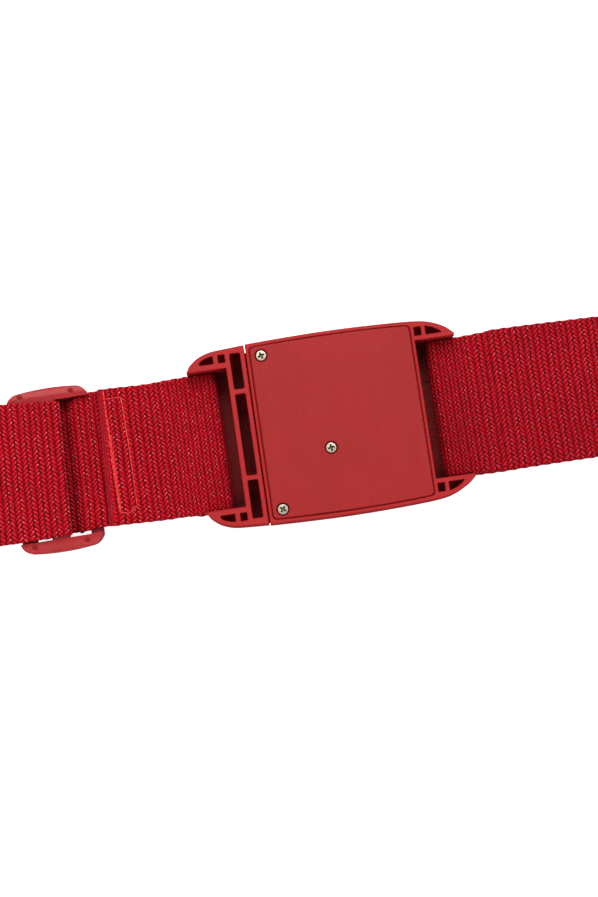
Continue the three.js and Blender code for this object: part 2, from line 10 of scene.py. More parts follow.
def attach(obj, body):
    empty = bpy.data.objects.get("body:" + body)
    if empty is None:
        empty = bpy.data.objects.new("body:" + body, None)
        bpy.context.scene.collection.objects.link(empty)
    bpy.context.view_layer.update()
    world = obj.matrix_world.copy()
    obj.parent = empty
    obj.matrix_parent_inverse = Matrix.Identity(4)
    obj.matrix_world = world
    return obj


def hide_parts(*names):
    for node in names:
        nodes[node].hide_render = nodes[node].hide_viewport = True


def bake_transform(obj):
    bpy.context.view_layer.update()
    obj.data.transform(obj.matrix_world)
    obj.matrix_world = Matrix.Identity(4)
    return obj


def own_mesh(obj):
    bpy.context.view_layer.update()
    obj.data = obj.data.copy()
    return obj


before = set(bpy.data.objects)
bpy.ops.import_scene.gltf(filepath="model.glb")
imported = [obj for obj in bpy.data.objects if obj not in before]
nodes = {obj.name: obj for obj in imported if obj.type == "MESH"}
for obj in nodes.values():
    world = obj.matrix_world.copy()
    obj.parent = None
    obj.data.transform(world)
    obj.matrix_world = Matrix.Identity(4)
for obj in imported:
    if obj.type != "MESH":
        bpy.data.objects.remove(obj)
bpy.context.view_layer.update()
MM = 0.001
scene = bpy.context.scene

# ---------------------------------------------------------------- camera
ROLL, TILT, DIST = math.radians(8.346), math.radians(5.5), 0.600
target = Vector((-0.01326, -0.00745, 0.0198))
right = Vector((math.cos(ROLL), -math.sin(ROLL), 0))
north = Vector((math.sin(ROLL), math.cos(ROLL), 0))
place = target - north * math.sin(TILT) * DIST + Vector((0, 0, math.cos(TILT) * DIST))
back = (place - target).normalized()
camera = bpy.data.objects.new("camera", bpy.data.cameras.new("camera"))
scene.collection.objects.link(camera)
turn = Matrix((right, back.cross(right), back)).transposed().to_4x4()
turn.translation = place
camera.matrix_world = turn
camera.data.sensor_width = 36
camera.data.lens = 67.22
camera.data.clip_start, camera.data.clip_end = 0.01, 20
scene.camera = camera
scene.view_settings.view_transform = "Standard"


# ---------------------------------------------------------------- node helpers
class Ex:
    """A value in a node tree, with arithmetic."""

    def __init__(self, nt, v):
        self.nt, self.v = nt, v

    def op(self, name, *args, clamp=False):
        n = self.nt.nodes.new("ShaderNodeMath")
        n.operation = name
        n.use_clamp = clamp
        for k, a in enumerate((self,) + args):
            a = a.v if isinstance(a, Ex) else a
            if isinstance(a, (int, float)):
                n.inputs[k].default_value = a
            else:
                self.nt.links.new(a, n.inputs[k])
        return Ex(self.nt, n.outputs[0])

    def __add__(self, o): return self.op("ADD", o)
    def __sub__(self, o): return self.op("SUBTRACT", o)
    def __mul__(self, o): return self.op("MULTIPLY", o)
    def __truediv__(self, o): return self.op("DIVIDE", o)
    def clamp(self): return self.op("ADD", 0.0, clamp=True)
    def ramp(self, a, b):
        n = self.nt.nodes.new("ShaderNodeMapRange")
        n.interpolation_type = "SMOOTHSTEP"
        self.nt.links.new(self.v, n.inputs["Value"])
        n.inputs["From Min"].default_value, n.inputs["From Max"].default_value = a, b
        return Ex(self.nt, n.outputs["Result"])


def material(name):
    m = bpy.data.materials.new(name)
    m.use_nodes = True
    nt = m.node_tree
    nt.nodes.clear()
    out = nt.nodes.new("ShaderNodeOutputMaterial")
    bsdf = nt.nodes.new("ShaderNodeBsdfPrincipled")
    nt.links.new(bsdf.outputs["BSDF"], out.inputs["Surface"])
    return m, nt, bsdf


def coords(nt, kind="Object"):
    return nt.nodes.new("ShaderNodeTexCoord").outputs[kind]


def stretched(nt, vector, scale):
    n = nt.nodes.new("ShaderNodeVectorMath")
    n.operation = "MULTIPLY"
    nt.links.new(vector, n.inputs[0])
    n.inputs[1].default_value = scale
    return n.outputs[0]


def noise(nt, vector, scale, detail=2.0, rough=0.5):
    n = nt.nodes.new("ShaderNodeTexNoise")
    nt.links.new(vector, n.inputs["Vector"])
    n.inputs["Scale"].default_value = scale
    n.inputs["Detail"].default_value = detail
    n.inputs["Roughness"].default_value = rough
    return Ex(nt, n.outputs["Fac"])


def mixed(nt, factor, a, b):
    n = nt.nodes.new("ShaderNodeMix")
    n.data_type = "RGBA"
    nt.links.new(factor.v, n.inputs["Factor"])
    for sock, c in ((n.inputs["A"], a), (n.inputs["B"], b)):
        if isinstance(c, tuple):
            sock.default_value = (*c, 1)
        else:
            nt.links.new(c, sock)
    return n.outputs["Result"]


def bump(nt, bsdf, height, distance, strength=1.0, after=None):
    n = nt.nodes.new("ShaderNodeBump")
    n.inputs["Distance"].default_value = distance
    n.inputs["Strength"].default_value = strength
    nt.links.new(height.v, n.inputs["Height"])
    if after is not None:
        nt.links.new(after, n.inputs["Normal"])
    nt.links.new(n.outputs["Normal"], bsdf.inputs["Normal"])
    return n.outputs["Normal"]


def srgb(r, g, b):
    def f(c):
        c /= 255
        return c / 12.92 if c <= 0.04045 else ((c + 0.055) / 1.055) ** 2.4
    return (f(r), f(g), f(b))


def edge_wear_and_highlight_mask(nt, radius):
    """1 along sharp edges, 0 on flat faces: how far a rounded normal turns from the true one; the mask for rubbed wear
    and a painted highlight.
    """
    bev = nt.nodes.new("ShaderNodeBevel")
    bev.samples = 4
    bev.inputs["Radius"].default_value = radius
    geo = nt.nodes.new("ShaderNodeNewGeometry")
    dot = nt.nodes.new("ShaderNodeVectorMath")
    dot.operation = "DOT_PRODUCT"
    nt.links.new(bev.outputs["Normal"], dot.inputs[0])
    nt.links.new(geo.outputs["Normal"], dot.inputs[1])
    return Ex(nt, dot.outputs["Value"]).ramp(0.97, 0.80)


def hollow(nt, reach, alone=True):
    """0 far inside a pocket or slot to 1 on an open face: the mask for painted shade."""
    n = nt.nodes.new("ShaderNodeAmbientOcclusion")
    n.samples = 6
    n.only_local = alone
    n.inputs["Distance"].default_value = reach
    return Ex(nt, n.outputs["AO"])


def plastic(name, colour, pale_wear_and_sheen, rough, grain, grain_scale=3000.0, wear_and_highlight=0.5, spec=0.5, coat=0.0, pocket_shade=None, marks=(), sheen_bands=(), flow_amount=0.05, rim=None, reach=0.0006):
    m, nt, bsdf = material(name)
    at = coords(nt)
    cloud = noise(nt, at, 45, 3).ramp(0.35, 0.68)
    dark = tuple(c * 0.94 for c in colour)
    base = mixed(nt, cloud, dark, colour)
    # fine flow marks from moulding, running across the part
    flow = noise(nt, stretched(nt, at, (1.0, 0.12, 0.3)), 260, 2).ramp(0.45, 0.75)
    base = mixed(nt, flow * flow_amount, base, pale_wear_and_sheen)
    # paler along sharp edges: partly rubbed wear, partly a painted highlight where the rounded edges catch the light
    edges = edge_wear_and_highlight_mask(nt, 0.0004)
    scuff = noise(nt, at, 420, 4, 0.65).ramp(0.40, 0.62)
    base = mixed(nt, edges * (scuff * 0.6 + 0.4) * wear_and_highlight, base, pale_wear_and_sheen)
    # painted shade: faces that turn away from straight up are darkened towards a deeper red, as less light falls on
    # the sides
    face = nt.nodes.new("ShaderNodeNewGeometry")
    facing_for_side_shade = nt.nodes.new("ShaderNodeSeparateXYZ")
    nt.links.new(face.outputs["Normal"], facing_for_side_shade.inputs[0])
    base = mixed(nt, Ex(nt, facing_for_side_shade.outputs["Z"]).ramp(0.88, 0.30) * 0.55, base, tuple(c * k for c, k in zip(colour, (0.62, 0.1, 0.15))))
    edge_shade_mask = None
    if rim:         # painted shade: rounded edges and side walls are darkened to a deeper red, as less light falls on them
        soft = nt.nodes.new("ShaderNodeBevel")
        soft.samples = 8
        soft.inputs["Radius"].default_value = reach
        lean = nt.nodes.new("ShaderNodeSeparateXYZ")
        nt.links.new(soft.outputs["Normal"], lean.inputs[0])
        edge_shade_mask = Ex(nt, lean.outputs["Z"]).ramp(0.99, 0.86)
        base = mixed(nt, edge_shade_mask * 0.94, base, rim)
    if pocket_shade:        # painted shade: pockets and slots darken towards this colour by occlusion, with paler painted reflection streaks in it
        reflection_streak = noise(nt, stretched(nt, at, (1.0, 0.04, 1.0)), 900, 2).ramp(0.40, 0.66)
        shade = hollow(nt, 0.007)
        base = mixed(nt, shade.ramp(0.86, 0.52), base, mixed(nt, reflection_streak, tuple(c * 0.75 for c in pocket_shade), tuple(c * 1.5 + 0.004 for c in pocket_shade)))
        # painted glow: a faint red emission where the pockets and slots are darkest
        nt.links.new(mixed(nt, shade.ramp(0.42, 0.10), (0.0, 0.0, 0.0), (0.026, 0.0002, 0.0004)), bsdf.inputs["Emission Color"])
        bsdf.inputs["Emission Strength"].default_value = 1.0
    dip = None
    for y, half, much in sheen_bands:       # painted highlight: lighter bands along the rail tops where their rounded faces reflect the light
        across = nt.nodes.new("ShaderNodeSeparateXYZ")
        nt.links.new(at, across.inputs[0])
        band = ((Ex(nt, across.outputs["Y"]) - y * MM).op("ABSOLUTE")).ramp(half * MM, half * 0.35 * MM)
        base = mixed(nt, band * much * (noise(nt, at, 300, 2) * 0.5 + 0.6), base, pale_wear_and_sheen)
    for x, y, r in marks:       # round marks left by the ejector pins
        off = nt.nodes.new("ShaderNodeVectorMath")
        off.operation = "SUBTRACT"
        nt.links.new(stretched(nt, at, (1.0, 1.0, 0.0)), off.inputs[0])
        off.inputs[1].default_value = (x * MM, y * MM, 0)
        far = nt.nodes.new("ShaderNodeVectorMath")
        far.operation = "LENGTH"
        nt.links.new(off.outputs[0], far.inputs[0])
        disc = Ex(nt, far.outputs["Value"]).ramp((r + 0.12) * MM, (r - 0.12) * MM)
        base = mixed(nt, disc * 0.95, base, tuple(c * k for c, k in zip(colour, (0.70, 0.12, 0.22))))
        dip = disc if dip is None else dip + disc
    nt.links.new(base, bsdf.inputs["Base Color"])
    rough_map = noise(nt, at, 160, 3) * 0.16 + (rough - 0.08)
    scratch = noise(nt, stretched(nt, at, (1.0, 0.06, 1.0)), 1500, 1).ramp(0.66, 0.72)
    rough_map = rough_map + scratch * 0.08
    if edge_shade_mask is not None:
        rough_map = rough_map + edge_shade_mask * 0.38
    nt.links.new(rough_map.v, bsdf.inputs["Roughness"])
    bsdf.inputs["Specular IOR Level"].default_value = spec
    bsdf.inputs["Coat Weight"].default_value = coat
    bsdf.inputs["Coat Roughness"].default_value = 0.18
    height = noise(nt, at, grain_scale, 3, 0.6) + noise(nt, at, 700, 2) * 0.6 + scratch * -0.3
    if dip is not None:
        height = height + dip * -3.0
    bump(nt, bsdf, height, grain)
    return m


def metal(name, colour, rough, brushed=(1, 1, 1), tarnish=0.25):
    m, nt, bsdf = material(name)
    at = coords(nt)
    cloud = noise(nt, at, 900, 3).ramp(0.35, 0.7)
    nt.links.new(mixed(nt, cloud * tarnish, colour, tuple(c * 0.55 for c in colour)), bsdf.inputs["Base Color"])
    grain = noise(nt, stretched(nt, at, brushed), 4000, 2)
    nt.links.new((grain * 0.2 + (rough - 0.1)).v, bsdf.inputs["Roughness"])
    bsdf.inputs["Metallic"].default_value = 1.0
    bump(nt, bsdf, grain, 0.00001)
    return m


# ---------------------------------------------------------------- weave, the same rule for meshes and materials
PU, PV = 2.08, 1.62                      # column width along the strap, stroke spacing across it, mm
WEAVE_COS, WEAVE_SIN = math.cos(math.radians(50)), math.sin(math.radians(50))
HALF_LONG, HALF_WIDE = 1.50, 0.40


def weave_height(u, v):
    """0 in the gaps to 1 on the crown of a yarn float, u along the webbing and v across, mm."""
    best = np.zeros(np.broadcast(u, v).shape)
    i0 = np.round(u / PU)
    for di in (-1, 0, 1):
        i = i0 + di
        du = u - i * PU
        parity = np.mod(i, 2)
        vv = v + parity * PV / 2
        dv = vv - np.round(vv / PV) * PV
        for dj in (-1, 0, 1):
            d = dv - dj * PV
            s = 1 - 2 * parity
            a = du * WEAVE_COS + s * d * WEAVE_SIN
            b = -s * du * WEAVE_SIN + d * WEAVE_COS
            h = 1 - (a / HALF_LONG) ** 2 - (b / HALF_WIDE) ** 2
            best = np.maximum(best, np.sqrt(np.maximum(h, 0)))
    return best


def weave_nodes(nt, u, v):
    i = u / PU
    i = i.op("ROUND")
    du = u - i * PU
    parity = (i * 0.5).op("FRACT") * 2.0
    vv = v + parity * (PV / 2)
    dv = vv - (vv / PV).op("ROUND") * PV
    s = parity * -2.0 + 1.0
    a = du * WEAVE_COS + s * dv * WEAVE_SIN
    b = dv * WEAVE_COS - s * du * WEAVE_SIN
    h = (a / HALF_LONG) * (a / HALF_LONG) + (b / HALF_WIDE) * (b / HALF_WIDE)
    h = (h * -1.0 + 1.0).op("MAXIMUM", 0.0).op("SQRT")
    fibres = (b * 38.0 + a * 1.5).op("SINE") * 0.5 + 0.5
    # the end of a float that rises towards +v, where it catches the light
    end = (s * a - 0.86) / 0.40
    end = (end * end + (b / 0.27) * (b / 0.27)).ramp(1.0, 0.25)
    # painted shade mask: the holes between the lower ends of the floats of two columns
    side = du.op("ABSOLUTE").ramp(0.35, 0.80)
    low = h.ramp(0.40, 0.0) * (side * 0.7 + 0.3)
    return h, fibres, end, low


def webbing_material(name, source="UV", melted=0.0, gain=1.0, sparkle=1.0, calmer=None):
    m, nt, bsdf = material(name)
    sep = nt.nodes.new("ShaderNodeSeparateXYZ")
    nt.links.new(coords(nt, source), sep.inputs[0])
    u, v = Ex(nt, sep.outputs["X"]) * 1000.0, Ex(nt, sep.outputs["Y"]) * 1000.0
    at = coords(nt, source)
    wander = noise(nt, at, 70, 2)
    wander2 = noise(nt, stretched(nt, at, (1.3, 0.9, 1.0)), 310, 2)
    h, fibres, glint, hole_shade = weave_nodes(nt, u + (wander - 0.5) * 1.0 + (wander2 - 0.5) * 0.5, v + (wander2 - 0.5) * 0.9)
    blotch = noise(nt, at, 900, 3, 0.6)
    def c(r, g, b):
        return (min(1.0, r * gain), g, b)
    yarn = mixed(nt, noise(nt, at, 38, 2).ramp(0.3, 0.7), c(0.60, 0.0004, 0.0125), c(0.73, 0.0008, 0.0190))
    yarn = mixed(nt, (blotch.ramp(0.45, 0.75)) * 0.35, yarn, c(0.86, 0.018, 0.05))
    yarn = mixed(nt, (blotch.ramp(0.50, 0.25)) * 0.45, yarn, c(0.34, 0.0, 0.004))
    # painted shade: the gaps between the floats darken towards a deep red and the holes between columns towards near
    # black
    gap_shade = h.ramp(0.66, 0.0)
    colour = mixed(nt, gap_shade * 0.9, yarn, c(0.27, 0.0, 0.003))
    colour = mixed(nt, hole_shade * noise(nt, at, 760, 2).ramp(0.36, 0.56) * 0.80, colour, (0.045, 0.0, 0.0))
    # painted highlight: a pinkish tint on the crowns of the floats, where they reflect the light
    crown = h.ramp(0.84, 1.0) * noise(nt, at, 1100, 2).ramp(0.44, 0.62)
    colour = mixed(nt, crown * (0.16 + 0.12 * sparkle), colour, (0.84, 0.14, 0.18))
    lucky = noise(nt, at, 620, 2).ramp(0.48, 0.62)
    colour = mixed(nt, glint * (lucky * 0.70 + 0.06) * sparkle, colour, (1.0, 0.34, 0.38))
    speck = noise(nt, at, 2700, 1)
    colour = mixed(nt, speck.ramp(0.50, 0.30) * 0.40, colour, c(0.22, 0.0, 0.002))
    colour = mixed(nt, speck.ramp(0.54, 0.70) * 0.16, colour, c(0.95, 0.05, 0.09))
    # painted shade: darker where other parts close over the webbing, in creases, under folds and inside the slider and
    # slots
    colour = mixed(nt, hollow(nt, 0.006, alone=False).ramp(0.56, 0.14) * 0.76, colour, (0.030, 0.0, 0.0))
    if melted:
        weft = (u * (2 * math.pi / 0.92)).op("SINE") * 0.5 + 0.5
        colour = mixed(nt, weft * 0.7, (0.24, 0.002, 0.008), mixed(nt, noise(nt, at, 700, 2).ramp(0.3, 0.75), (0.42, 0.004, 0.014), (0.62, 0.03, 0.05)))
    if calmer:      # (x0, x1, k): the red sinks to k of itself from x0 to x1 along the strap
        along = nt.nodes.new("ShaderNodeSeparateXYZ")
        nt.links.new(coords(nt, "Object"), along.inputs[0])
        sunk = nt.nodes.new("ShaderNodeVectorMath")
        sunk.operation = "MULTIPLY"
        nt.links.new(colour, sunk.inputs[0])
        sunk.inputs[1].default_value = (calmer[2], 1.0, 1.0)
        colour = mixed(nt, Ex(nt, along.outputs["X"]).ramp(calmer[0], calmer[1]), colour, sunk.outputs[0])
    nt.links.new(colour, bsdf.inputs["Base Color"])
    nt.links.new((h * -0.22 + blotch * 0.15 + 0.62).v, bsdf.inputs["Roughness"])
    bsdf.inputs["Specular IOR Level"].default_value = 0.08
    bsdf.inputs["Sheen Weight"].default_value = 0.02
    bsdf.inputs["Sheen Roughness"].default_value = 0.4
    height = h + fibres * 0.10 + blotch * 0.12
    bump(nt, bsdf, height, 0.00022 if not melted else 0.00008)
    return m


# rim: the painted shade colour of rounded edges and side walls; reach is how far it spreads in from an edge
red = plastic("moulded_red", (0.392, 0.0140, 0.0150), (0.56, 0.05, 0.05), 0.46, 0.00007, grain_scale=2200.0, wear_and_highlight=0.15, spec=0.33, rim=(0.235, 0.0, 0.001), reach=0.0006)
frame_red = plastic("moulded_red_frame", (0.475, 0.0235, 0.0260), (0.66, 0.065, 0.065), 0.40, 0.000045, wear_and_highlight=0.35, spec=0.24, pocket_shade=(0.115, 0.0, 0.0005), rim=(0.345, 0.0, 0.0005), reach=0.0011)
MARKS = [(-112.97, -28.32, 1.15), (-93.81, -28.24, 1.15), (-111.55, 26.72, 1.1), (-92.78, 26.67, 1.1)]
slider_red = plastic("slider_red", (0.43, 0.020, 0.024), (0.72, 0.17, 0.17), 0.28, 0.00003, wear_and_highlight=0.6, coat=0.12, marks=MARKS, sheen_bands=[(27.3, 1.5, 0.42), (-29.0, 1.5, 0.10)], spec=0.40, rim=(0.39, 0.001, 0.005), reach=0.0007)
button_red = plastic("button_red", srgb(140, 28, 34), srgb(196, 80, 80), 0.40, 0.00003, wear_and_highlight=0.6)
dial_black = plastic("dial_black", srgb(26, 26, 28), srgb(90, 90, 92), 0.42, 0.00002, wear_and_highlight=0.6)
digit_white = plastic("digit_white", srgb(225, 222, 212), srgb(240, 238, 230), 0.5, 0.00001, wear_and_highlight=0.1)
screw_metal = metal("screw_nickel_brass", (0.93, 0.85, 0.66), 0.42, tarnish=0.2)
# painted shade: a dark metal for the faces inside the screws' cross recess
recess_shade_metal = metal("screw_recess_painted_shade", (0.13, 0.105, 0.07), 0.5, tarnish=0.5)
brass = metal("hub_brass", (0.66, 0.47, 0.19), 0.32, brushed=(1, 0.2, 1))
steel = metal("zinc_steel", (0.58, 0.59, 0.60), 0.34, brushed=(0.2, 1, 1))
web_uv = webbing_material("webbing_weave", "UV", gain=1.05, sparkle=0.95)
web_right = webbing_material("webbing_weave_calm", "UV", gain=0.92, sparkle=0.55)
web_turn = webbing_material("webbing_weave_return", "UV", gain=1.05, sparkle=0.75, calmer=(-0.20, 0.18, 0.86))
web_xy = webbing_material("webbing_weave_in_place", "Object")
web_melt = webbing_material("webbing_heat_cut", "UV", melted=1.0)


def thread_material():
    m, nt, bsdf = material("sewing_thread")
    at = coords(nt, "UV")
    sep = nt.nodes.new("ShaderNodeSeparateXYZ")
    nt.links.new(at, sep.inputs[0])
    twist = (Ex(nt, sep.outputs["X"]) * 2600.0 + Ex(nt, sep.outputs["Y"]) * 12.566).op("SINE") * 0.5 + 0.5
    tint = noise(nt, at, 400, 2)
    base = mixed(nt, twist.ramp(0.0, 0.8), (0.60, 0.004, 0.003), (0.95, 0.020, 0.012))
    base = mixed(nt, tint.ramp(0.5, 0.8) * 0.3, base, (1.0, 0.07, 0.045))
    nt.links.new(base, bsdf.inputs["Base Color"])
    bsdf.inputs["Roughness"].default_value = 0.42
    bsdf.inputs["Sheen Weight"].default_value = 0.15
    bump(nt, bsdf, twist, 0.00006)
    return m


thread = thread_material()


# ---------------------------------------------------------------- mesh helpers
def add_mesh(name, verts, faces, mats, smooth=True, uv=None, face_mats=None):
    """verts in mm; uv is one (u, v) per vertex, in metres."""
    me = bpy.data.meshes.new(name)
    v = np.asarray(verts, float) * MM
    me.from_pydata(v.tolist(), [], faces)
    for m in mats:
        me.materials.append(m)
    if face_mats is not None:
        me.polygons.foreach_set("material_index", np.asarray(face_mats, np.int32))
    if uv is not None:
        layer = me.uv_layers.new(name="along")
        idx = np.empty(len(me.loops), np.int64)
        me.loops.foreach_get("vertex_index", idx)
        layer.data.foreach_set("uv", np.asarray(uv, np.float32)[idx].ravel())
    me.polygons.foreach_set("use_smooth", np.full(len(me.polygons), smooth))
    me.validate()
    me.update()
    o = bpy.data.objects.new(name, me)
    scene.collection.objects.link(o)
    return o


def fix_normals(o, sharp):
    """Faces outward, and edges sharper than this many degrees kept crisp."""
    bm = bmesh.new()
    bm.from_mesh(o.data)
    bmesh.ops.recalc_face_normals(bm, faces=bm.faces)
    for e in bm.edges:
        if len(e.link_faces) == 2 and e.calc_face_angle(0) > math.radians(sharp):
            e.smooth = False
    bm.to_mesh(o.data)
    bm.free()


def refine(name, mat, width=0.3, segments=3, angle=32, subsurf=0):
    """A CAD node keeps its mesh; its edges are rounded by modifiers and it gets its finish."""
    o = nodes[name]
    o.data.materials.clear()
    o.data.materials.append(mat)
    w = o.modifiers.new("weld", "WELD")
    w.merge_threshold = 0.000002
    if subsurf:
        s = o.modifiers.new("smooth", "SUBSURF")
        s.levels = s.render_levels = subsurf
        for p in o.data.polygons:
            p.use_smooth = True
        return o
    b = o.modifiers.new("edges", "BEVEL")
    b.width = width * MM
    b.segments = segments
    b.limit_method = "ANGLE"
    b.angle_limit = math.radians(angle)
    b.use_clamp_overlap = True
    for p in o.data.polygons:
        p.use_smooth = True
    n = o.modifiers.new("normals", "WEIGHTED_NORMAL")
    n.weight = 100
    n.keep_sharp = False
    return o


# ---------------------------------------------------------------- route of the webbing, mm (as in the CAD source)
GAP, WEB_T, WEB_W = 0.3, 1.4, 50.8
LOOP_HALF, FOLD_R_IN = 250.0, 2.6
Z_OUT = WEB_T / 2
Z_IN = Z_OUT + WEB_T + GAP
Z_FRONT = 2 * (WEB_T + GAP)
BAR_Z, BAR_H = 11.6, 3.0
WRAP_R = BAR_H / 2 + GAP + WEB_T / 2
HOUSING_WRAP_X, INSERT_WRAP_X = 41.0, -42.4
SL_CY, SL_TILT = -1.05, 1.8
STEP = WEB_T + GAP
UP_IN = Z_FRONT + WEB_T / 2
UP_OUT = UP_IN + STEP
FOLD_Z = Z_IN + FOLD_R_IN
FOLD_X = LOOP_HALF - (FOLD_R_IN + STEP + WEB_T / 2)
OVER_BAR, NOSE_X, C_TOP = 7.0, -101.0, 10.4


def ramp(x, x0, x1, a, b):
    s = np.clip((np.asarray(x, float) - x0) / (x1 - x0), 0, 1)
    return a + (b - a) * (1 - np.cos(np.pi * s)) / 2


def drift(x, end_ply=False):
    """Sideways wander of the webbing; the sewn end ply lies a little higher than the ply under it."""
    x = np.asarray(x, float)
    left = np.where(x > -98, np.where(x > -86, ramp(x, -84, -62, 0.45 if end_ply else 0.3, -0.1), ramp(x, -98, -86, -1.0, 0.3)),
                    np.interp(x, [-205, -160, -133, -118, -109, -98], [0.0, 0.0, -0.1, -0.45, -0.75, -1.0]))
    return np.where(x > 0, ramp(x, 40, 100, 0.1, 0.5), left)


def width(x, end_ply=False):
    """Width of the webbing in mm: pinched a little in the slider and in the slots of the buckle."""
    x = np.asarray(x, float)
    wide = 50.4 if end_ply else 49.8
    left = np.where(x > -75, ramp(x, -60, -50, wide, 50.1), np.where(
        x > -97, ramp(x, -92, -84, 49.4, wide), ramp(x, -120, -99, 51.0, 49.3)))
    return np.where(x > 0, ramp(x, 48, 66, 50.1, 51.2), left)


def lower_shift(x, z):
    """The return run lies a little to one side of the upper run."""
    x = np.asarray(x, float)
    left = ramp(x, -62, -50, 1.0, 0.0) * ramp(x, -236, -205, 0, 1)
    right = 0.5 * ramp(x, 52, 70, 0, 1) * ramp(x, 205, 236, 1, 0)
    return np.clip((5.0 - z) / 1.2, 0, 1) * np.where(x > 0, right, left)


def slant(x):
    return math.tan(math.radians(SL_TILT)) * np.where(x < -120, ramp(x, -175, -125, 0, 1), ramp(x, -90, -84, 1, 0))


def z_a(x):
    x = np.asarray(x, float)
    return np.where(x > -84, ramp(x, -72, -48, OVER_BAR, BAR_Z - WRAP_R), np.where(
        x > -99, ramp(x, -96.8, -92.8, UP_IN, OVER_BAR), np.where(
            x > -114, ramp(x, -111.4, -106.4, OVER_BAR, UP_IN), ramp(x, -143, -118.5, UP_IN, OVER_BAR))))


def z_b(x):
    lo = z_a(x) + STEP
    return lo + (BAR_Z + WRAP_R - lo) * ramp(x, -66, -46, 0, 1)


def z_c(x): return ramp(x, -153, -119, UP_OUT, C_TOP)
def z_e(x): return ramp(x, 48, 125, BAR_Z - WRAP_R, UP_IN)
def z_d(x): return ramp(x, 50, 150, BAR_Z + WRAP_R, UP_OUT)
def end_lift(x): return ramp(np.abs(x), 205, 242, 0, FOLD_Z + FOLD_R_IN - UP_IN)


def run(f, a, b, step=0.4):
    n = max(2, int(abs(b - a) / step) + 1)
    xs = np.linspace(a, b, n)
    return np.column_stack([xs, f(xs)])


def arc(cx, cz, r, a0, a1, n=36):
    t = np.radians(np.linspace(a0, a1, n))
    return np.column_stack([cx + r * np.cos(t), cz + r * np.sin(t)])


def offset(path, d):
    t = np.gradient(path, axis=0)
    t /= np.hypot(t[:, 0], t[:, 1])[:, None]
    return path + np.column_stack([-t[:, 1], t[:, 0]]) * d


def joined(*parts):
    p = np.vstack(parts)
    keep = np.ones(len(p), bool)
    keep[1:] = np.hypot(*np.diff(p, axis=0).T) > 0.03
    return p[keep]


rng = np.random.RandomState(7)
WAVES = [(rng.uniform(0.012, 0.05), rng.uniform(0, 6.28), rng.uniform(0.02, 0.07), rng.uniform(0, 6.28)) for _ in range(5)]


def swell(x, y):
    """Slow unevenness of soft webbing, -1 to 1."""
    out = 0
    for fx, px, fy, py in WAVES:
        out = out + np.sin(x * fx * 2.2 + px) * np.sin(y * fy * 2.2 + py)
    return out / 2.6


SHEETS = []


